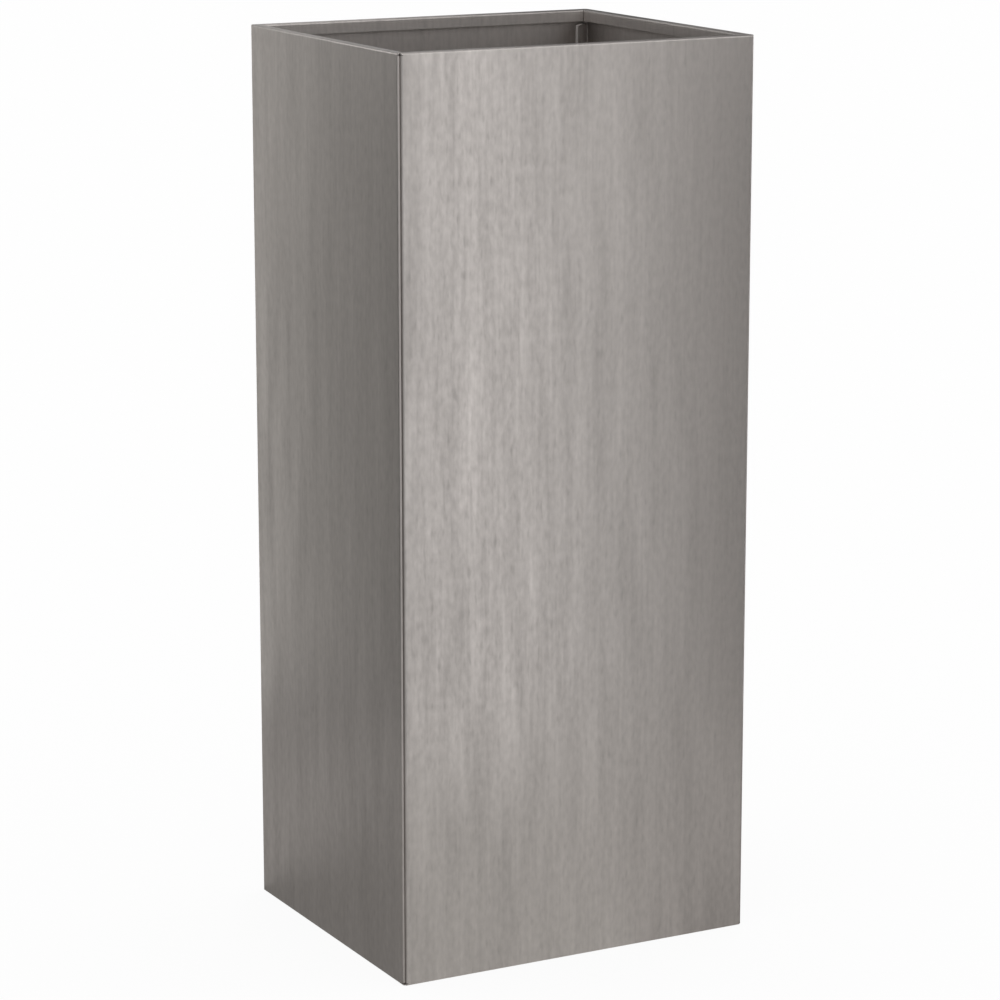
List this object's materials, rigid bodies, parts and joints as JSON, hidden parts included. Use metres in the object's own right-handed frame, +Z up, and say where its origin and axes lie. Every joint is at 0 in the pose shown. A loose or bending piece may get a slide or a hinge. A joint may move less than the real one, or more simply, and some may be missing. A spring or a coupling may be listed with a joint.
{
  "type": "floor planter",
  "caption": "Tall rectangular floor planter of brushed sheet steel, with a narrow folded rim, bolted corner flanges hidden inside and a drained base tray that lifts out.",
  "frame": {"origin": "on the floor, under the middle of the planter", "axes": "+Z up; the front panel faces -Y; +X to the right as seen from the front"},
  "size_m": [0.32, 0.275, 0.75],
  "materials": {
    "panel_steel": "fine upright brushing, warm grey, satin",
    "tray_steel": "plain mill finish",
    "fastener_steel": "zinc plated"
  },
  "bodies": {
    "shell": {"front_panel": "panel_steel", "back_panel": "panel_steel", "left_panel": "panel_steel", "right_panel": "panel_steel", "front_left_bolts": "fastener_steel", "front_left_nuts": "fastener_steel", "front_right_bolts": "fastener_steel", "front_right_nuts": "fastener_steel", "back_right_bolts": "fastener_steel", "back_right_nuts": "fastener_steel", "back_left_bolts": "fastener_steel", "back_left_nuts": "fastener_steel"},
    "tray": {"base_tray": "tray_steel"}
  },
  "joints": [
    {"name": "tray_lift", "type": "slide", "parent": "shell", "child": "tray", "axis": [0, 0, 1], "range_m": [0, 0.78]}
  ]
}
